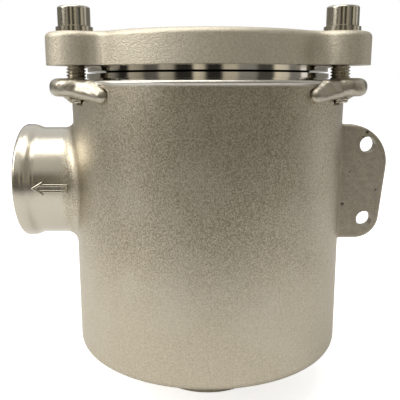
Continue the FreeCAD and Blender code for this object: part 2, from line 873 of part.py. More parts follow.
def draw_bow(sketch, x, foot, top, bend):
    """Two legs joined by a level run through two bends, from the left foot to the right."""
    left = -x.number
    right = x.number
    turn = bend.number
    corner_z = top.number - turn
    run = [
        Part.LineSegment(Vector(left, foot.number, 0), Vector(left, corner_z, 0)),
        Part.ArcOfCircle(Part.Circle(Vector(left + turn, corner_z, 0), Vector(0, 0, 1), turn),
                         math.pi / 2, math.pi),
        Part.LineSegment(Vector(left + turn, top.number, 0), Vector(right - turn, top.number, 0)),
        Part.ArcOfCircle(Part.Circle(Vector(right - turn, corner_z, 0), Vector(0, 0, 1), turn),
                         0, math.pi / 2),
        Part.LineSegment(Vector(right, corner_z, 0), Vector(right, foot.number, 0)),
    ]
    leg, first_bend, bar, second_bend, last_leg = (sketch.addGeometry(item) for item in run)
    sketch.addConstraint(Sketcher.Constraint("Tangent", leg, 2, first_bend, 2))
    sketch.addConstraint(Sketcher.Constraint("Tangent", first_bend, 1, bar, 1))
    sketch.addConstraint(Sketcher.Constraint("Tangent", bar, 2, second_bend, 2))
    sketch.addConstraint(Sketcher.Constraint("Tangent", second_bend, 1, last_leg, 1))
    set_radius(sketch, first_bend, bend)
    set_radius(sketch, second_bend, bend)
    sketch.addConstraint(Sketcher.Constraint("Vertical", leg))
    place_point(sketch, leg, 1, -x, foot)
    place_point(sketch, last_leg, 2, x, foot)
    index = sketch.addConstraint(Sketcher.Constraint("DistanceY", -1, 1, bar, 1, top.number))
    bind(sketch, f"Constraints[{index}]", top)


# ---- the whole strainer ----

def check_document():
    for item in doc.Objects:
        if {"Invalid", "Error"} & set(item.State):
            raise RuntimeError(f"{item.Name} failed: {item.State}")


def check_shape(item):
    if item.Shape.isNull() or not item.Shape.isValid():
        raise RuntimeError(f"{item.Label} has no valid shape")


nodes = [strainer_body(), strainer_lid(), lid_o_ring()]
for ear, ear_angle in EAR_ANGLES.items():
    nodes.append(cap_screw(ear, ear_angle))
    nodes.append(spring_washer(ear, ear_angle))
nodes += [basket_floor(), basket_riser(), basket_screen(), basket_rim(), basket_handle()]

doc.recompute()
check_document()
os.makedirs("parts", exist_ok=True)
for node in nodes:
    check_shape(node)
for node in nodes:
    node.Shape.exportStep(f"parts/{node.Label}.step")
    print(node.Label, len(node.Shape.Solids), round(node.Shape.Volume / 1000, 2), "cm3")
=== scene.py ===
"""The look of the sea water strainer: cast and turned steel, real threads, studio light and camera."""
import bmesh
import bpy
import math
from mathutils import Euler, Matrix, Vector


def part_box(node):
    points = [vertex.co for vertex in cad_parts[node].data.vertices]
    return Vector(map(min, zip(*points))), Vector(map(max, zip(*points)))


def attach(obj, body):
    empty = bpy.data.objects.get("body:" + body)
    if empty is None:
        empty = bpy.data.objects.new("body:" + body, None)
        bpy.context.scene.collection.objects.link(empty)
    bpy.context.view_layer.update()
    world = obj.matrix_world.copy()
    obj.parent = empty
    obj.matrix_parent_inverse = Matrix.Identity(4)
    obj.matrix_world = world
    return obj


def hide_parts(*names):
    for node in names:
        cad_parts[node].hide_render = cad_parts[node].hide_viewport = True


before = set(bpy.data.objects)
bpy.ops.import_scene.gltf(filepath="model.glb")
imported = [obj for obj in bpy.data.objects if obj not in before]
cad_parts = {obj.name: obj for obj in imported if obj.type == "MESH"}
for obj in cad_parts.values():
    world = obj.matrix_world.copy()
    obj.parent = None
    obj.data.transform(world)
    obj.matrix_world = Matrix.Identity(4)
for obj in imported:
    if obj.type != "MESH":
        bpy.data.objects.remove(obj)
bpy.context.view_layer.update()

MM = 0.001
OUTLET_Z = 97 * MM


# ---- shader building ----

class Graph:
    """A material's node tree, built from short calls that return output sockets."""

    def __init__(self, name):
        self.material = bpy.data.materials.new(name)
        self.material.use_nodes = True
        self.tree = self.material.node_tree
        self.tree.nodes.clear()
        self.out = self.tree.nodes.new("ShaderNodeOutputMaterial")
        self.place = self.node("ShaderNodeTexCoord").outputs["Object"]

    def node(self, kind, **settings):
        made = self.tree.nodes.new(kind)
        for key, value in settings.items():
            setattr(made, key, value)
        return made

    def feed(self, socket, value):
        """Links a socket to another, or sets its own value."""
        if isinstance(value, bpy.types.NodeSocket):
            self.tree.links.new(value, socket)
        else:
            socket.default_value = value

    def math(self, operation, *values):
        made = self.node("ShaderNodeMath", operation=operation)
        for socket, value in zip(made.inputs, values):
            self.feed(socket, value)
        return made.outputs[0]

    def add(self, a, b):
        return self.math("ADD", a, b)

    def times(self, a, b):
        return self.math("MULTIPLY", a, b)

    def ramp(self, value, low, high, start=0.0, end=1.0):
        """Runs smoothly from start to end as the value runs from low to high."""
        made = self.node("ShaderNodeMapRange", interpolation_type="SMOOTHSTEP")
        for name, number in (("Value", value), ("From Min", low), ("From Max", high),
                             ("To Min", start), ("To Max", end)):
            self.feed(made.inputs[name], number)
        return made.outputs["Result"]

    def axis(self, letter):
        made = self.node("ShaderNodeSeparateXYZ")
        self.feed(made.inputs[0], self.place)
        return made.outputs[letter]

    def radius(self):
        """Distance from the strainer's upright axis."""
        x = self.axis("X")
        y = self.axis("Y")
        return self.math("SQRT", self.add(self.times(x, x), self.times(y, y)))

    def off_outlet(self):
        """Distance from the outlet's level axis."""
        y = self.axis("Y")
        z = self.math("SUBTRACT", self.axis("Z"), OUTLET_Z)
        return self.math("SQRT", self.add(self.times(y, y), self.times(z, z)))

    def noise(self, size_mm, detail=2.0, roughness=0.5, stretch=(1, 1, 1), shift=0.0):
        """Cloudy noise from 0 to 1 with grains of about a size."""
        mapping = self.node("ShaderNodeMapping")
        self.feed(mapping.inputs["Vector"], self.place)
        mapping.inputs["Location"].default_value = (shift, shift, shift)
        mapping.inputs["Scale"].default_value = stretch
        made = self.node("ShaderNodeTexNoise")
        self.feed(made.inputs["Vector"], mapping.outputs[0])
        made.inputs["Scale"].default_value = 1 / (size_mm * MM)
        made.inputs["Detail"].default_value = detail
        made.inputs["Roughness"].default_value = roughness
        return made.outputs["Fac"]

    def spot(self, across, up, at_x, at_z, size_mm):
        """1 inside a round spot, 0 outside, in the plane of two coordinates."""
        dx = self.math("SUBTRACT", across, at_x * MM)
        dz = self.math("SUBTRACT", up, at_z * MM)
        away = self.math("SQRT", self.add(self.times(dx, dx), self.times(dz, dz)))
        return self.ramp(away, size_mm * MM, size_mm * 0.4 * MM)

    def mix(self, factor, a, b):
        """Blends two numbers."""
        made = self.node("ShaderNodeMix", data_type="FLOAT")
        for socket, value in zip((made.inputs[0], made.inputs[2], made.inputs[3]), (factor, a, b)):
            self.feed(socket, value)
        return made.outputs[0]

    def tint(self, factor, a, b):
        """Blends two colours."""
        made = self.node("ShaderNodeMix", data_type="RGBA")
        for socket, value in zip((made.inputs[0], made.inputs[6], made.inputs[7]), (factor, a, b)):
            self.feed(socket, value)
        return made.outputs[2]

    def bump(self, height, depth_mm, strength=1.0, under=None):
        made = self.node("ShaderNodeBump")
        made.inputs["Distance"].default_value = depth_mm * MM
        self.feed(made.inputs["Strength"], strength)
        self.feed(made.inputs["Height"], height)
        if under is not None:
            self.feed(made.inputs["Normal"], under)
        return made.outputs[0]

    def metal(self, colour, roughness, normal, metallic=1.0):
        shader = self.node("ShaderNodeBsdfPrincipled")
        for name, value in (("Base Color", colour), ("Roughness", roughness),
                            ("Metallic", metallic), ("Normal", normal)):
            self.feed(shader.inputs[name], value)
        self.tree.links.new(shader.outputs[0], self.out.inputs[0])
        return self.material


def rgb(r, g, b):
    return (r, g, b, 1.0)


CAST = rgb(0.62, 0.57, 0.465)
CAST_DARK = rgb(0.33, 0.29, 0.215)
CAST_PALE = rgb(0.64, 0.61, 0.53)
TURNED = rgb(0.74, 0.71, 0.65)
PORT_CAST = rgb(0.56, 0.53, 0.46)
EAR_CAST = rgb(0.47, 0.44, 0.37)
LIP_TURNED = rgb(0.66, 0.64, 0.60)
LUG_SKIN = rgb(0.37, 0.335, 0.28)
# Painted shade inside the lug's pits.
PIT_SHADE = rgb(0.10, 0.085, 0.07)
LID_PALE = rgb(0.74, 0.70, 0.60)
SCREW_TONE = rgb(0.60, 0.57, 0.49)
SHEET_TONE = rgb(0.70, 0.69, 0.66)
SEAL_BLACK = rgb(0.018, 0.018, 0.019)
SEAL_DUST = rgb(0.045, 0.044, 0.042)
PAPER = rgb(0.80, 0.80, 0.80)
DARK_ROOM = rgb(0.10, 0.095, 0.085)

# The roughness that each steel runs between.
SCREW_POLISH = (0.13, 0.18)
SHEET_POLISH = (0.06, 0.12)
EAR_POLISH = (0.32, 0.42)
PORT_POLISH = (0.22, 0.27)
TURNED_POLISH = 0.08
LIP_POLISH = 0.32
LUG_POLISH = 0.5

# Pits in the skin of the lug: x, z and size in mm. They are pressed in by a shallow bump and painted near
# black as painted shade inside them.
LUG_PITS = ((74.4, 119.6, 1.1), (64.3, 85.6, 1.0), (72.5, 117.4, 0.5), (79.8, 92.5, 0.6), (67.0, 101.0, 0.45))


def either(g, *masks):
    made = masks[0]
    for mask in masks[1:]:
        made = g.math("MAXIMUM", made, mask)
    return made


def both(g, *masks):
    made = masks[0]
    for mask in masks[1:]:
        made = g.times(made, mask)
    return made


def above(g, value, limit_mm, soft_mm=0.1):
    return g.ramp(value, (limit_mm - soft_mm) * MM, (limit_mm + soft_mm) * MM)


def below(g, value, limit_mm, soft_mm=0.1):
    return g.ramp(value, (limit_mm + soft_mm) * MM, (limit_mm - soft_mm) * MM)


# The casting's noises, by the size of their grains in mm, and its roughness.
FINE_GRAIN = 0.30
COARSE_GRAIN = 0.62
SPECKS = 0.5
CLOUDS = 26
BLASTED = 0.34
PEENED = 0.40
GLINT = 0.26


def blasted_finish(g, grain, smooth):
    """Colour, roughness and normal of the bead-blasted casting; smooth is 1 where it was peened fine."""
    fine = g.noise(FINE_GRAIN, detail=2, roughness=0.6)
    coarse = g.noise(COARSE_GRAIN, detail=2, roughness=0.6, shift=0.3)
    clouds = g.noise(CLOUDS, detail=3, roughness=0.5, shift=0.7)
    speck = g.ramp(g.noise(SPECKS, detail=1, shift=0.9), 0.58, 0.70)
    shade = g.ramp(g.add(g.times(coarse, 0.6), g.times(fine, 0.4)), 0.40, 0.60)
    colour = g.tint(g.mix(smooth, shade, g.add(g.times(shade, 0.45), 0.5)), CAST_DARK, CAST)
    colour = g.tint(g.times(g.ramp(clouds, 0.4, 0.7), 0.3), colour, CAST_PALE)
    roughness = g.add(g.mix(smooth, BLASTED, PEENED), g.times(clouds, 0.08))
    roughness = g.mix(g.times(speck, 0.55), roughness, GLINT)
    rough_height = g.bump(coarse, 0.20, g.times(grain, g.mix(smooth, 1.0, 0.3)))
    normal = g.bump(fine, 0.08, g.times(grain, g.mix(smooth, 1.0, 0.45)), rough_height)
    return colour, roughness, normal


def turned_rings(g, across, pitch_mm):
    """Fine tool marks that follow one coordinate."""
    wave = g.math("SINE", g.times(across, 2 * math.pi / (pitch_mm * MM)))
    return g.times(g.add(wave, 1.0), 0.5)


# Where the finishes of the body meet, in mm.
RIM_REACH = 55.0
RIM_FLOOR = 143.05
BORE_REACH = 21.4
OUTLET_BORE_X = -62
INLET_BORE_Z = 26.0
OUTLET_FACE_X = -85.3
INLET_FACE_Z = 0.15
EAR_REACH = 62.6
EAR_FLOOR = 134.0
EAR_CEILING = 144.4
PORT_X = -63.5
LUG_X = 63.0
LUG_HALF = 3.3
LUG_TOP = 130
LIP_REACH = 62.9
LIP_FLOOR = 140.7

# The peened lower part of the wall fades in between these heights.
PEENED_TOP = 100 * MM
PEENED_FULL = 60 * MM


def body_material():
    g = Graph("cast_body")
    x = g.axis("X")
    y = g.axis("Y")
    z = g.axis("Z")
    r = g.radius()
    rim = both(g, below(g, r, RIM_REACH), above(g, z, RIM_FLOOR, 0.04))
    bore = either(g, both(g, below(g, x, OUTLET_BORE_X), below(g, g.off_outlet(), BORE_REACH)),
                  both(g, below(g, z, INLET_BORE_Z), below(g, r, BORE_REACH)))
    face = either(g, below(g, x, OUTLET_FACE_X, 0.05), below(g, z, INLET_FACE_Z, 0.05))
    turned = either(g, rim, bore, face)
    ear_zone = both(g, above(g, r, EAR_REACH, 0.8), above(g, z, EAR_FLOOR, 1.0), below(g, z, EAR_CEILING))
    low = g.ramp(g.add(z, g.times(g.noise(35, detail=2), 0.03)), PEENED_TOP, PEENED_FULL)
    port = below(g, x, PORT_X, 1.5)
    smooth = either(g, low, port)
    cast = g.math("SUBTRACT", 1.0, either(g, turned, g.times(ear_zone, 0.75)))
    grain = g.times(cast, g.mix(port, 0.6, 0.12))
    colour, roughness, normal = blasted_finish(g, grain, smooth)
    colour = g.tint(g.times(port, 0.7), colour, PORT_CAST)

    lug = both(g, above(g, x, LUG_X, 0.8), below(g, g.math("ABSOLUTE", y), LUG_HALF), below(g, z, LUG_TOP))
    pits = either(g, *(g.spot(x, z, at_x, at_z, size) for at_x, at_z, size in LUG_PITS))
    rough_skin = g.noise(2.2, detail=4, roughness=0.6, shift=0.2)
    colour = g.tint(g.times(lug, g.ramp(rough_skin, 0.35, 0.65, 0.35, 0.85)), colour, LUG_SKIN)
    # Painted shade: the pits are painted near black for the shade inside them.
    colour = g.tint(g.times(lug, pits), colour, PIT_SHADE)
    roughness = g.mix(lug, roughness, LUG_POLISH)
    normal = g.bump(g.math("SUBTRACT", rough_skin, pits), 0.4, g.times(lug, 0.6), normal)

    colour = g.tint(ear_zone, colour, EAR_CAST)
    roughness = g.mix(ear_zone, roughness, g.ramp(g.noise(3), 0.3, 0.7, *EAR_POLISH))
    normal = g.bump(g.noise(5.5, detail=2, shift=0.5), 1.2, g.times(ear_zone, 0.7), normal)
    roughness = g.mix(port, roughness, g.ramp(g.noise(4), 0.3, 0.7, *PORT_POLISH))

    lip = both(g, above(g, r, RIM_REACH), below(g, r, LIP_REACH), above(g, z, LIP_FLOOR))
    colour = g.tint(turned, colour, TURNED)
    roughness = g.mix(turned, roughness, TURNED_POLISH)
    colour = g.tint(lip, colour, LIP_TURNED)
    roughness = g.mix(lip, roughness, LIP_POLISH)
    rings = g.bump(turned_rings(g, g.add(r, z), 0.35), 0.012, g.times(turned, 0.3), normal)
    return g.metal(colour, roughness, rings)


# The lid's top, and the facing ring under it, in mm.
LID_TOP_Z = 159.8
FACING_Z = 148.95
FACING_REACH = 54.6


def lid_material():
    g = Graph("cast_lid")
    z = g.axis("Z")
    r = g.radius()
    top = above(g, z, LID_TOP_Z, 1.6)
    facing = both(g, below(g, z, FACING_Z, 0.04), below(g, r, FACING_REACH))
    cast = g.math("SUBTRACT", 1.0, facing)
    colour, roughness, normal = blasted_finish(g, g.times(cast, 0.9), g.times(top, 0.4))
    colour = g.tint(0.5, colour, LID_PALE)
    roughness = g.add(roughness, 0.14)
    colour = g.tint(facing, colour, TURNED)
    roughness = g.mix(facing, roughness, TURNED_POLISH)
    normal = g.bump(turned_rings(g, g.add(r, z), 0.3), 0.012, g.times(facing, 0.3), normal)
    return g.metal(colour, roughness, normal)


def bright_steel(name, marks_mm, tone, polish):
    """Rolled or drawn stainless steel with long fine marks."""
    g = Graph(name)
    marks = g.noise(marks_mm, detail=4, stretch=(1, 1, 0.06))
    smudge = g.noise(9, detail=2, shift=0.4)
    colour = g.tint(g.ramp(smudge, 0.3, 0.7), tone, rgb(*(0.9 * c for c in tone[:3])))
    roughness = g.add(g.times(marks, 0.08), g.ramp(smudge, 0.3, 0.7, *polish))
    normal = g.bump(marks, 0.03, 0.25)
    return g.metal(colour, roughness, normal)


def rubber_material():
    g = Graph("seal_rubber")
    dust = g.noise(1.2, detail=3)
    colour = g.tint(g.ramp(dust, 0.45, 0.75), SEAL_BLACK, SEAL_DUST)
    roughness = g.ramp(dust, 0.3, 0.7, 0.45, 0.62)
    return g.metal(colour, roughness, g.bump(dust, 0.03, 0.3), metallic=0.0)


def dress(node, material):
    """Gives a CAD node one material."""
    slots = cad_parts[node].data.materials
    for i in range(len(slots)):
        slots[i] = material


# ---- pieces in mesh ----

SHARP_ANGLE = math.radians(38)


def piece_from_rings(name, rings, material, closed_ends=True, wrap=False):
    """A smooth piece from rings of points, each ring joined to the next."""
    mesh = bpy.data.meshes.new(name)
    form = bmesh.new()
    rows = [[form.verts.new(point) for point in ring] for ring in rings]
    pairs = list(zip(rows, rows[1:]))
    if wrap:
        pairs.append((rows[-1], rows[0]))
    for low, high in pairs:
        for i in range(len(low)):
            j = (i + 1) % len(low)
            form.faces.new((low[i], low[j], high[j], high[i]))
    if closed_ends:
        form.faces.new(reversed(rows[0]))
        form.faces.new(rows[-1])
    bmesh.ops.recalc_face_normals(form, faces=form.faces)
    form.to_mesh(mesh)
    form.free()
    mesh.polygons.foreach_set("use_smooth", [True] * len(mesh.polygons))
    mesh.set_sharp_from_angle(angle=SHARP_ANGLE)
    mesh.materials.append(material)
    piece = bpy.data.objects.new(name, mesh)
    bpy.context.collection.objects.link(piece)
    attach(piece, "root")
    return piece


def ring_at(radius, z, count=48):
    """A level ring; the radius may be a number or a function of the angle."""
    points = []
    for i in range(count):
        angle = 2 * math.pi * i / count
        r = radius(angle) if callable(radius) else radius
        points.append((r * math.cos(angle), r * math.sin(angle), z))
    return points


FLANK_STEEPNESS = 1.35
ROOT_FLAT = 0.12


def ridge(phase):
    """The height of a thread's flank from root, 0, to crest, 1, over one pitch."""
    rise = 1 - abs(2 * (phase % 1.0) - 1)
    return min(max(rise * FLANK_STEEPNESS - ROOT_FLAT, 0.0), 1.0)


SCREW_PITCH = 1.25 * MM
SCREW_MAJOR = 4.0 * MM
SCREW_ROOT = 3.3 * MM
SCREW_STEPS = 9
TIP_RADIUS = SCREW_ROOT - 0.35 * MM
TIP_CHAMFER = 0.9 * MM
PLAIN_SHANK = 1.6 * SCREW_PITCH
HEAD_RADIUS = 6.5 * MM
HEAD_CHAMFER = 0.35 * MM
HEAD_ROUNDING = 0.9 * MM
HEAD_CREASE = 0.15 * MM
SOCKET_HALF_FLATS = 3.0 * MM
SOCKET_MOUTH = 3.55 * MM
SOCKET_DEPTH = 4 * MM
SOCKET_CONE = 0.8 * MM


def hexagon_radius(angle):
    return SOCKET_HALF_FLATS / math.cos((angle % (math.pi / 3)) - math.pi / 6)


def screw_rings(tip, seat, top):
    """Rings of a threaded cap screw from its tip to the floor of its socket."""
    steps = round((seat - tip) / SCREW_PITCH * SCREW_STEPS)
    rings = [ring_at(TIP_RADIUS, tip)]
    for step in range(1, steps):
        z = tip + (seat - tip) * step / steps
        cut_back = TIP_RADIUS + (z - tip) * (SCREW_MAJOR - TIP_RADIUS) / TIP_CHAMFER
        limit = min(SCREW_MAJOR, cut_back)
        plain = z > seat - PLAIN_SHANK

        def thread(angle, z=z, limit=limit, plain=plain):
            height = 1.0 if plain else ridge(z / SCREW_PITCH - angle / (2 * math.pi))
            return min(limit, SCREW_ROOT + (SCREW_MAJOR - SCREW_ROOT) * height)

        rings.append(ring_at(thread, z))
    rings += [ring_at(SCREW_MAJOR, seat), ring_at(HEAD_RADIUS - HEAD_CHAMFER, seat)]
    for z in (seat + HEAD_CHAMFER, seat + HEAD_CHAMFER + HEAD_CREASE, top - HEAD_ROUNDING - HEAD_CREASE):
        rings.append(ring_at(HEAD_RADIUS, z))
    for step in range(7):
        turn = math.pi / 2 * step / 6
        radius = HEAD_RADIUS - HEAD_ROUNDING * (1 - math.cos(turn))
        rings.append(ring_at(radius, top - HEAD_ROUNDING * (1 - math.sin(turn))))
    rings += [ring_at(SOCKET_MOUTH + 0.1 * MM, top), ring_at(SOCKET_MOUTH, top - 0.05 * MM)]
    rings += [ring_at(hexagon_radius, top - 0.4 * MM), ring_at(hexagon_radius, top - SOCKET_DEPTH)]
    rings.append(ring_at(0.4 * MM, top - SOCKET_DEPTH - SOCKET_CONE))
    return rings


def cap_screw(ear, material):
    """The threaded screw that stands for an ear's plain CAD one."""
    low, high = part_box(f"cap_screw_{ear}")
    middle = (Vector(low) + Vector(high)) / 2
    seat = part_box(f"spring_washer_{ear}")[1][2]
    screw = piece_from_rings(f"threaded_screw_{ear}", screw_rings(low[2], seat, high[2]), material)
    screw.location = (middle.x, middle.y, 0)
    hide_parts(f"cap_screw_{ear}")


PORT_PITCH = 2.309 * MM
PORT_ROOT = 20.93 * MM
PORT_CREST = 19.6 * MM
PORT_THREAD = (0.3 * MM, 17.9 * MM)
PORT_STEPS = 8
PORT_AROUND = 96
PORT_SKIN = 0.04 * MM


def port_thread(name, material, place, turn):
    """The inside thread of a pipe port, drawn from the mouth inwards."""
    start, end = PORT_THREAD
    steps = round((end - start) / PORT_PITCH * PORT_STEPS)
    rings = []
    for step in range(steps + 1):
        z = start + (end - start) * step / steps
        fade = min(1.0, (z - start) / PORT_PITCH, (end - z) / PORT_PITCH * 2 + 0.02)

        def thread(angle, z=z, fade=fade):
            height = ridge(z / PORT_PITCH - angle / (2 * math.pi)) * fade
            return PORT_ROOT - PORT_SKIN - (PORT_ROOT - PORT_CREST) * height

        rings.append(ring_at(thread, z, PORT_AROUND))
    rings += [ring_at(PORT_ROOT, end, PORT_AROUND), ring_at(PORT_ROOT, start, PORT_AROUND)]
    sleeve = piece_from_rings(name, rings, material, closed_ends=False, wrap=True)
    sleeve.location = place
    sleeve.rotation_euler = turn


WELD_AROUND = 180
WELD_SECTION = 8
WELD_RIPPLE = 0.16


def weld_bead(name, material, radius, z, thickness):
    """A rippled weld run once round the basket's axis."""
    rings = []
    for step in range(WELD_AROUND):
        angle = 2 * math.pi * step / WELD_AROUND
        swell = thickness * (1 + WELD_RIPPLE * math.sin(step * 2.1) * math.cos(step * 0.37))
        ring = []
        for i in range(WELD_SECTION):
            tilt = 2 * math.pi * i / WELD_SECTION
            r = radius + swell * math.cos(tilt)
            ring.append((r * math.cos(angle), r * math.sin(angle), z + swell * math.sin(tilt)))
        rings.append(ring)
    bead = piece_from_rings(name, rings, material, closed_ends=False, wrap=True)


# ---- the casting, with its lip and ears drawn smooth ----

WALL_RADIUS = 61.5 * MM
SHOULDER_Z = 143 * MM
RELIEF_RADIUS = 54 * MM
TAPPING_RADIUS = 4.05 * MM
TAPPING_REACH = 4.2 * MM
UNDER_EARS_Z = 133.5 * MM
WALL_SLACK = 0.03 * MM
SHOULDER_SLACK = 0.02 * MM
RELIEF_SLACK = 0.1 * MM
MERGE_DISTANCE = 0.0005 * MM


def body_casting(material):
    """The CAD body's own mesh without its ears and lip, closed again under the pieces that stand for them."""
    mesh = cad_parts["strainer_body"].data.copy()
    mesh.name = "body_casting"
    normals = [0.0] * (len(mesh.loops) * 3)
    mesh.corner_normals.foreach_get("vector", normals)
    mesh.attributes.new("cad_normal", "FLOAT_VECTOR", "CORNER").data.foreach_set("vector", normals)
    form = bmesh.new()
    form.from_mesh(mesh)
    bmesh.ops.remove_doubles(form, verts=form.verts, dist=MERGE_DISTANCE)
    gone = []
    for face in form.faces:
        reach = max(math.hypot(v.co.x, v.co.y) for v in face.verts)
        heights = [v.co.z for v in face.verts]
        is_ear = min(heights) > UNDER_EARS_Z and reach > WALL_RADIUS + WALL_SLACK
        is_level = all(abs(height - SHOULDER_Z) < SHOULDER_SLACK for height in heights)
        is_shoulder = is_level and reach > RELIEF_RADIUS + RELIEF_SLACK
        is_tapping = min(heights) > UNDER_EARS_Z and any(
            all(math.hypot(v.co.x - at.x, v.co.y - at.y) < TAPPING_REACH for v in face.verts)
            for at in SCREW_AXES.values())
        if is_ear or is_shoulder or is_tapping:
            gone.append(face)
    bmesh.ops.delete(form, geom=gone, context="FACES")
    rims = [edge for edge in form.edges if edge.is_boundary]
    for edge in rims:
        edge.smooth = False
    bmesh.ops.bridge_loops(form, edges=rims)
    form.to_mesh(mesh)
    form.free()
    kept = mesh.attributes["cad_normal"]
    corners = [Vector(item.vector) for item in kept.data]
    # A face that bridges the rims has no CAD normal, so it takes its own.
    for polygon in mesh.polygons:
        for i in polygon.loop_indices:
            if corners[i].length < 0.5:
                corners[i] = polygon.normal.copy()
    mesh.attributes.remove(kept)
    mesh.normals_split_custom_set(corners)
    for i in range(len(mesh.materials)):
        mesh.materials[i] = material
    piece = bpy.data.objects.new("body_casting", mesh)
    bpy.context.collection.objects.link(piece)
    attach(piece, "root")
    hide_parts("strainer_body")


AROUND = 256


def cut_away(piece, *tools):
    """Works the piece's modifiers and a cut by each tool into its mesh."""
    for tool in tools:
        cut = piece.modifiers.new("cut", "BOOLEAN")
        cut.object = tool
        cut.solver = "EXACT"
    bpy.context.view_layer.update()
    graph = bpy.context.evaluated_depsgraph_get()
    finished = bpy.data.meshes.new_from_object(piece.evaluated_get(graph))
    piece.modifiers.clear()
    piece.data = finished
    finished.polygons.foreach_set("use_smooth", [True] * len(finished.polygons))
    finished.set_sharp_from_angle(angle=SHARP_ANGLE)


def cutter(radius, low, high, centre=(0, 0, 0)):
    """A plain round tool for a cut, taken out of the scene afterwards."""
    mesh = bpy.data.meshes.new("cutter")
    form = bmesh.new()
    bmesh.ops.create_cone(form, cap_ends=True, segments=AROUND,
                          radius1=radius, radius2=radius, depth=high - low)
    form.to_mesh(mesh)
    form.free()
    tool = bpy.data.objects.new("cutter", mesh)
    tool.location = (centre[0], centre[1], (low + high) / 2)
    bpy.context.collection.objects.link(tool)
    return tool


# The lip's half round in mm, with its middle as radius and height, and the section's other corners.
LIP_MIDDLE = (61.4, 142.03)
LIP_OUT = 0.85
LIP_UP = 0.95
LIP_TURN = 0.92
LIP_STEPS = 8
LIP_FOOT = ((55.0, 140.4), (61.3, 140.4), (61.5, 140.75), (61.36, 140.9), (61.5, 141.05))
LIP_BACK = ((61.2, 143.0), (54.05, 143.0), (54.05, 142.0))


def shoulder_lip(material, tools):
    """The turned shoulder with its half-round lip."""
    section = list(LIP_FOOT)
    for step in range(LIP_STEPS + 1):
        turn = math.pi * (step / LIP_STEPS - 0.5) * LIP_TURN
        section.append((LIP_MIDDLE[0] + LIP_OUT * math.cos(turn), LIP_MIDDLE[1] + LIP_UP * math.sin(turn)))
    section += LIP_BACK
    rings = [ring_at(r * MM, z * MM, AROUND) for r, z in section]
    lip = piece_from_rings("shoulder_lip", rings, material, closed_ends=False, wrap=True)
    cut_away(lip, *tools)


# An ear is a boss round its screw. On each side a web, a cheek and a nose join it to the wall.
EAR_RADIUS = 11.0 * MM
EAR_ROUND = 3.2 * MM
EAR_LOW = 136.6 * MM
EAR_TOP = 143.9 * MM
WEB_RADIUS = 9.6 * MM
WEB_ROUND = 2.8 * MM
WEB_LOW = 137.2 * MM
WEB_TOP = 143.0 * MM
CHEEK_RADIUS = 4.2 * MM
CHEEK_TOP = 143.4 * MM
CHEEK_OUT = 60.3 * MM
CHEEK_ALONG = 12.0 * MM
NOSE_RADIUS = 3.1 * MM
NOSE_Z = 137.0 * MM
NOSE_OUT = 58.7 * MM
NOSE_ALONG = 18.6 * MM
VOXEL = 0.45 * MM
SMOOTHING = 14
SLIVER = 0.03 * MM
LID_CLEARANCE_RADIUS = 62.3 * MM
DISC_AROUND = 72
DISC_STEPS = 18


def rounded_disc(axis, radius, rounding, low, top):
    """Points over a level disc with full round rims."""
    points = []
    for around in range(DISC_AROUND):
        turn = math.radians(360 / DISC_AROUND * around)
        side = Vector((math.cos(turn), math.sin(turn), 0))
        for step in range(DISC_STEPS + 1):
            tilt = math.radians(180 / DISC_STEPS * step - 90)
            middle = top - rounding if tilt > 0 else low + rounding
            reach = radius - rounding + rounding * math.cos(tilt)
            points.append(axis + side * reach + Vector((0, 0, middle + rounding * math.sin(tilt))))
    return points


def add_hull(form, points):
    """Adds the tightest skin round some points to a form."""
    verts = [form.verts.new(point) for point in points]
    hull = bmesh.ops.convex_hull(form, input=verts)
    inner = {item for item in hull["geom_interior"] if isinstance(item, bmesh.types.BMVert)}
    bmesh.ops.delete(form, geom=list(inner), context="VERTS")


def close_slivers(piece):
    """Welds the slivers that a cut leaves along its edge."""
    form = bmesh.new()
    form.from_mesh(piece.data)
    bmesh.ops.remove_doubles(form, verts=form.verts, dist=SLIVER)
    bmesh.ops.dissolve_degenerate(form, dist=SLIVER, edges=form.edges)
    bmesh.ops.triangulate(form, faces=form.faces)
    form.to_mesh(piece.data)
    form.free()


def ear(name, material, tools):
    """A cast ear: a round boss on a web that is drawn out into a nose on each side, against the wall."""
    axis = SCREW_AXES[name]
    outward = axis.normalized()
    along = Vector((-outward.y, outward.x, 0))
    mesh = bpy.data.meshes.new(f"ear_{name}")
    form = bmesh.new()
    add_hull(form, rounded_disc(axis, EAR_RADIUS, EAR_ROUND, EAR_LOW, EAR_TOP))
    for end in (-1, 1):
        web = rounded_disc(axis - outward * MM, WEB_RADIUS, WEB_ROUND, WEB_LOW, WEB_TOP)
        cheek = outward * CHEEK_OUT + along * CHEEK_ALONG * end
        web += rounded_disc(cheek, CHEEK_RADIUS, WEB_ROUND, WEB_LOW, CHEEK_TOP)
        nose = outward * NOSE_OUT + along * NOSE_ALONG * end
        web += rounded_disc(nose, NOSE_RADIUS, NOSE_RADIUS, NOSE_Z - NOSE_RADIUS, NOSE_Z + NOSE_RADIUS)
        add_hull(form, web)
    form.to_mesh(mesh)
    form.free()
    mesh.materials.append(material)
    piece = bpy.data.objects.new(f"ear_{name}", mesh)
    bpy.context.collection.objects.link(piece)
    even = piece.modifiers.new("even", "REMESH")
    even.mode = "VOXEL"
    even.voxel_size = VOXEL
    soft = piece.modifiers.new("soft", "SMOOTH")
    soft.iterations = SMOOTHING
    cut_away(piece, *tools)
    close_slivers(piece)
    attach(piece, "root")


def casting(material):
    """The pieces that stand for the CAD body: its casting, the lip and the three ears."""
    body_casting(material)
    tappings = [cutter(TAPPING_RADIUS, 130 * MM, 147 * MM, at) for at in SCREW_AXES.values()]
    above_shoulder = cutter(LID_CLEARANCE_RADIUS, SHOULDER_Z, 150 * MM)
    shoulder_lip(material, tappings)
    for tapping, name in zip(tappings, SCREW_AXES):
        ear(name, material, [tapping, above_shoulder])
    for tool in tappings + [above_shoulder]:
        bpy.data.objects.remove(tool)


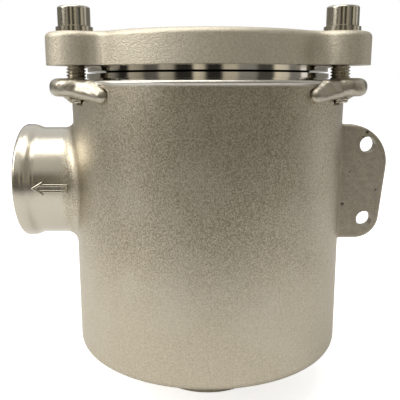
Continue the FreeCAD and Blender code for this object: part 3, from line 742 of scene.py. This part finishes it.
def screw_axis(name):
    """Where a lid screw stands, seen from above."""
    low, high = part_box(f"cap_screw_{name}")
    return Vector(((low[0] + high[0]) / 2, (low[1] + high[1]) / 2, 0))


SCREW_AXES = {name: screw_axis(name) for name in ("rear", "front_left", "front_right")}

screw_steel = bright_steel("screw_steel", 0.5, SCREW_TONE, SCREW_POLISH)
sheet_steel = bright_steel("sheet_steel", 0.8, SHEET_TONE, SHEET_POLISH)
cast_body = body_material()
casting(cast_body)
dress("strainer_lid", lid_material())
dress("lid_o_ring", rubber_material())
for part in ("floor", "riser", "screen", "rim", "handle"):
    dress(f"basket_{part}", sheet_steel)
for place in SCREW_AXES:
    dress(f"spring_washer_{place}", screw_steel)
    cap_screw(place, screw_steel)
outlet_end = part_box("strainer_body")[0][0]
port_thread("inlet_thread", screw_steel, (0, 0, 0), (0, 0, 0))
port_thread("outlet_thread", screw_steel, (outlet_end, 0, OUTLET_Z), (0, math.pi / 2, 0))
floor_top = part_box("basket_floor")[1][2]
riser_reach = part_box("basket_riser")[1][0]
screen_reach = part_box("basket_screen")[1][0]
weld_bead("riser_weld", sheet_steel, riser_reach + 0.3 * MM, floor_top + 0.3 * MM, 0.75 * MM)
weld_bead("screen_weld", sheet_steel, screen_reach - 1.5 * MM, floor_top + 0.2 * MM, 0.6 * MM)


# ---- floor, backdrop and light ----

FLOOR_SPAN = 3.0
FRONT_FADE = (-0.16, -0.46)
SIDE_FADE = (0.22, 0.62)
BACK_FADE = (0.15, -0.05)
SEEN_GLOW = 0.72
SEEN_GLOW_BEYOND = 0.3
MIRRORED_GLOW = 0.08


def stage_floor():
    """White paper for the camera; the metal sees it end in a dark room in front and at the far sides."""
    mesh = bpy.data.meshes.new("floor")
    corners = [(-FLOOR_SPAN, -FLOOR_SPAN, 0), (FLOOR_SPAN, -FLOOR_SPAN, 0),
               (FLOOR_SPAN, FLOOR_SPAN, 0), (-FLOOR_SPAN, FLOOR_SPAN, 0)]
    mesh.from_pydata(corners, [], [(0, 1, 2, 3)])
    floor = bpy.data.objects.new("floor", mesh)
    bpy.context.collection.objects.link(floor)
    g = Graph("floor")
    paper = g.node("ShaderNodeBsdfDiffuse")
    near_front = g.ramp(g.axis("Y"), *FRONT_FADE)
    aside = g.ramp(g.math("ABSOLUTE", g.axis("X")), *SIDE_FADE)
    far_side = g.times(aside, g.ramp(g.axis("Y"), *BACK_FADE))
    beyond = g.math("MAXIMUM", near_front, far_side)
    g.feed(paper.inputs["Color"], g.tint(beyond, PAPER, DARK_ROOM))
    glow = g.node("ShaderNodeEmission")
    path = g.node("ShaderNodeLightPath")
    seen = g.math("MAXIMUM", path.outputs["Is Camera Ray"], path.outputs["Is Transmission Ray"])
    fading = g.math("SUBTRACT", MIRRORED_GLOW, g.times(beyond, MIRRORED_GLOW))
    mirrored = g.times(path.outputs["Is Glossy Ray"], fading)
    shown = g.times(seen, g.add(g.times(beyond, SEEN_GLOW_BEYOND), SEEN_GLOW))
    g.feed(glow.inputs["Strength"], g.math("MAXIMUM", mirrored, shown))
    added = g.node("ShaderNodeAddShader")
    g.feed(added.inputs[0], paper.outputs[0])
    g.feed(added.inputs[1], glow.outputs[0])
    g.feed(g.out.inputs[0], added.outputs[0])
    mesh.materials.append(g.material)


# The room round the object: heading in degrees from the camera's side, level and warmth.
ROOM = (
    (-180, 0.45, 0.3), (-160, 0.30, 0.5), (-140, 0.20, 0.6), (-96, 0.22, 0.7), (-86, 0.02, 0.6),
    (-78, 0.02, 0.6), (-75, 0.42, 1.0), (-62, 0.30, 1.0), (-58, 0.10, 0.6), (-46, 0.12, 0.6),
    (-43, 0.45, 0.9), (-32, 0.34, 0.9), (-28, 0.02, 0.5), (-14, 0.02, 0.5), (-12, 0.70, 1.0),
    (-4, 0.50, 1.0), (-1, 0.02, 0.5), (12, 0.02, 0.5), (14, 0.50, 1.0), (25, 0.50, 1.0),
    (28, 0.26, 0.5), (43, 0.24, 0.5), (46, 0.06, 0.5), (60, 0.06, 0.5), (63, 0.75, 1.0),
    (76, 0.60, 0.8), (80, 0.20, 0.4), (90, 0.22, 0.5), (140, 0.20, 0.5), (160, 0.30, 0.4),
    (180, 0.45, 0.3),
)
CEILING = (
    (-180, 0.90, 0.0), (-130, 0.80, 0.0), (-90, 0.86, 0.2), (-55, 0.90, 0.3), (-25, 0.70, 0.4),
    (15, 0.42, 0.5), (60, 0.30, 0.5), (95, 0.50, 0.2), (140, 0.70, 0.0), (180, 0.90, 0.0),
)
CEILING_START = 0.22
CEILING_FULL = 0.50
WARM_GREEN = 0.10
WARM_BLUE = 0.30


def world_light():
    """A photographer's room, dark with warm patches; the camera sees plain white instead."""
    world = bpy.data.worlds.new("studio")
    bpy.context.scene.world = world
    world.use_nodes = True
    tree = world.node_tree
    tree.nodes.clear()
    new = tree.nodes.new
    link = tree.links.new

    def calculate(operation, *values):
        made = new("ShaderNodeMath")
        made.operation = operation
        for socket, value in zip(made.inputs, values):
            if isinstance(value, bpy.types.NodeSocket):
                link(value, socket)
            else:
                socket.default_value = value
        return made.outputs[0]

    split = new("ShaderNodeSeparateXYZ")
    link(new("ShaderNodeTexCoord").outputs["Generated"], split.inputs[0])
    heading = calculate("ARCTAN2", split.outputs["X"], calculate("MULTIPLY", split.outputs["Y"], -1.0))
    turn = calculate("ADD", calculate("DIVIDE", heading, 2 * math.pi), 0.5)

    def panorama(stops):
        """A ramp round the room: each stop has a heading from the camera's side, a level and a warmth."""
        made = new("ShaderNodeValToRGB")
        ramp = made.color_ramp
        while len(ramp.elements) < len(stops):
            ramp.elements.new(0.5)
        for element, (degrees, level, warmth) in zip(ramp.elements, stops):
            element.position = degrees / 360 + 0.5
            element.color = rgb(level, level * (1 - WARM_GREEN * warmth), level * (1 - WARM_BLUE * warmth))
        link(turn, made.inputs[0])
        return made.outputs[0]

    lift = new("ShaderNodeMapRange")
    lift.interpolation_type = "SMOOTHSTEP"
    link(calculate("ABSOLUTE", split.outputs["Z"]), lift.inputs["Value"])
    lift.inputs["From Min"].default_value = CEILING_START
    lift.inputs["From Max"].default_value = CEILING_FULL
    blend = new("ShaderNodeMix")
    blend.data_type = "RGBA"
    for socket, source in zip((blend.inputs[0], blend.inputs[6], blend.inputs[7]),
                              (lift.outputs[0], panorama(ROOM), panorama(CEILING))):
        link(source, socket)
    room = new("ShaderNodeBackground")
    link(blend.outputs[2], room.inputs["Color"])
    white = new("ShaderNodeBackground")
    white.inputs["Color"].default_value = rgb(1, 1, 1)
    path = new("ShaderNodeLightPath")
    seen = calculate("MAXIMUM", path.outputs["Is Camera Ray"], path.outputs["Is Transmission Ray"])
    mix = new("ShaderNodeMixShader")
    link(seen, mix.inputs[0])
    link(room.outputs[0], mix.inputs[1])
    link(white.outputs[0], mix.inputs[2])
    link(mix.outputs[0], new("ShaderNodeOutputWorld").inputs[0])


LAMP_COLOUR = (1, 0.97, 0.92)
LAMP_TARGET = (0, 0, 0.1)


def area_light(name, place, size, watts):
    lamp = bpy.data.lights.new(name, "AREA")
    lamp.shape = "RECTANGLE"
    lamp.size, lamp.size_y = size
    lamp.energy = watts
    lamp.color = LAMP_COLOUR
    lit = bpy.data.objects.new(name, lamp)
    lit.location = place
    lit.rotation_euler = (Vector(LAMP_TARGET) - Vector(place)).to_track_quat("-Z", "Y").to_euler()
    bpy.context.collection.objects.link(lit)


stage_floor()
world_light()
area_light("key", (-0.75, -0.30, 0.60), (0.45, 0.6), 4.2)
area_light("fill", (0.85, 0.10, 0.30), (0.2, 0.6), 0.25)
area_light("top", (-0.1, -0.18, 1.0), (0.8, 0.6), 4.0)


# ---- camera ----

FOCAL_LENGTH = 51.9
CAMERA_PLACE = (-2.63 * MM, -272.4 * MM, 141.2 * MM)
CAMERA_DOWN = math.radians(11.28)
CAMERA_ROLL = 0.001
CAMERA_HEADING = 0.003


def camera():
    lens = bpy.data.cameras.new("camera")
    lens.lens = FOCAL_LENGTH
    lens.sensor_width = 36
    lens.clip_start = 0.01
    seen_from = bpy.data.objects.new("camera", lens)
    seen_from.location = CAMERA_PLACE
    seen_from.rotation_euler = Euler((math.pi / 2 - CAMERA_DOWN, CAMERA_ROLL, CAMERA_HEADING), "XYZ")
    bpy.context.collection.objects.link(seen_from)
    bpy.context.scene.camera = seen_from


camera()
bpy.context.scene.view_settings.view_transform = "Standard"
